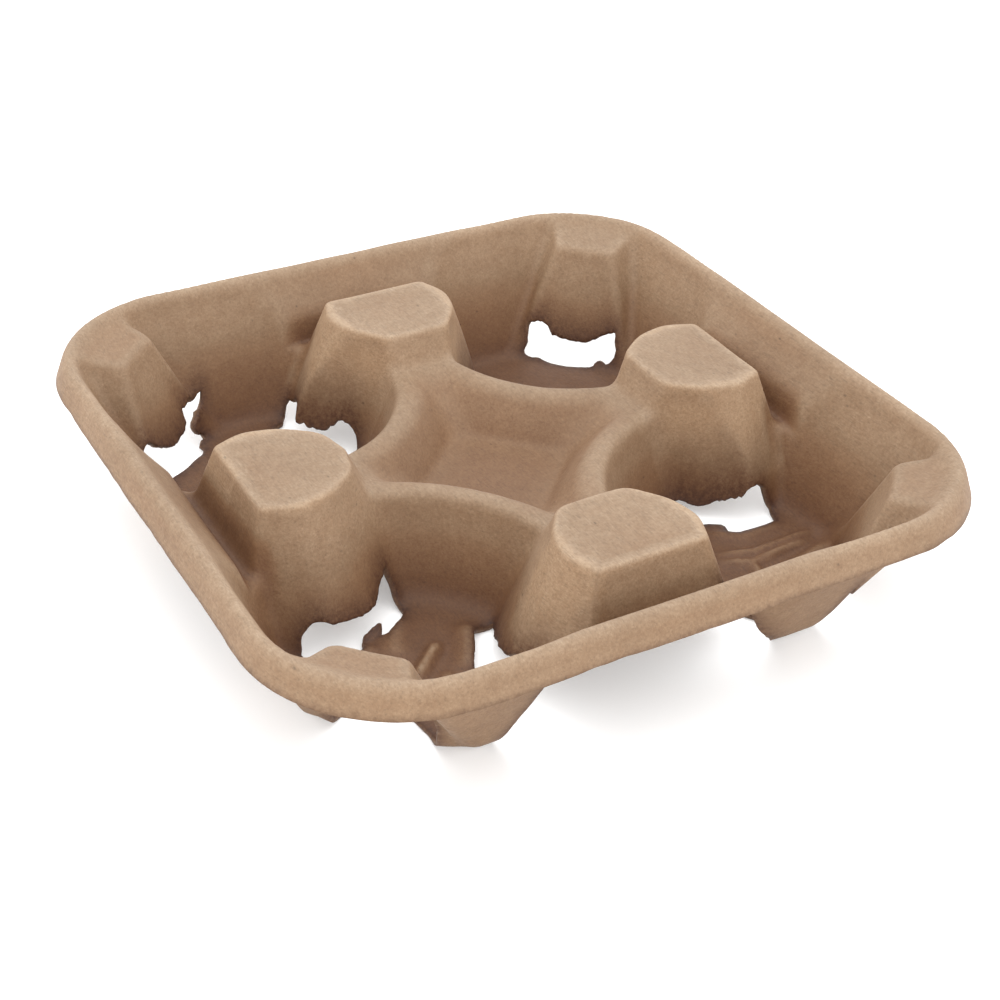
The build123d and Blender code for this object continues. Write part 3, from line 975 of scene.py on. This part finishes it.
def plain(name, colour, rough, glow):
    mat = bpy.data.materials.new(name)
    mat.use_nodes = True
    b = mat.node_tree.nodes["Principled BSDF"]
    b.inputs["Base Color"].default_value = colour
    b.inputs["Roughness"].default_value = rough
    b.inputs["Specular IOR Level"].default_value = 0.1
    b.inputs["Emission Color"].default_value = (1, 1, 1, 1)
    b.inputs["Emission Strength"].default_value = glow
    return mat


bpy.ops.mesh.primitive_plane_add(size=8)
floor = bpy.context.object
floor.name = "floor"
floor.data.materials.append(plain("floor", (0.7, 0.7, 0.7, 1), 0.9, 0.3))

world = bpy.data.worlds.new("studio")
world.use_nodes = True
world.node_tree.nodes["Background"].inputs[0].default_value = (1, 1, 1, 1)
world.node_tree.nodes["Background"].inputs[1].default_value = 2.1
bpy.context.scene.world = world


def lamp(name, place, aim, size, power):
    data = bpy.data.lights.new(name, "AREA")
    data.shape = "DISK"
    data.size = size
    data.energy = power
    obj = bpy.data.objects.new(name, data)
    bpy.context.scene.collection.objects.link(obj)
    obj.location = place
    obj.rotation_euler = (Vector(aim) - Vector(place)).to_track_quat("-Z", "Y").to_euler()
    return obj


lamp("top", (0.05, 0.12, 1.2), (0, 0, 0), 1.0, 4)

AZ, EL, ROLL = 0.5392395395528923, 0.5950748641851313, 0.038126074303033365
DIST, SHIFT_X, SHIFT_Y, FOCAL = 496.6568962402351, 1.6686740111320182, -29.101247497410284, 1738.756435784437
ahead = np.array([math.sin(AZ) * math.cos(EL), math.cos(AZ) * math.cos(EL), -math.sin(EL)])
right = np.array([math.cos(AZ), -math.sin(AZ), 0.0])
up = np.cross(right, ahead)
place = (-DIST * ahead + SHIFT_X * right + SHIFT_Y * up + np.array([0, 0, HEIGHT])) * 0.001
c, s = math.cos(ROLL), math.sin(ROLL)
right, up = c * right + s * up, -s * right + c * up
data = bpy.data.cameras.new("camera")
data.sensor_width = 36
data.lens = FOCAL * 36 / 1000
data.clip_start, data.clip_end = 0.01, 50
camera = bpy.data.objects.new("camera", data)
bpy.context.scene.collection.objects.link(camera)
camera.matrix_world = Matrix(
    [(right[i], up[i], -ahead[i], place[i]) for i in range(3)] + [(0, 0, 0, 1)]
)
bpy.context.scene.camera = camera
bpy.context.scene.view_settings.view_transform = "Standard"
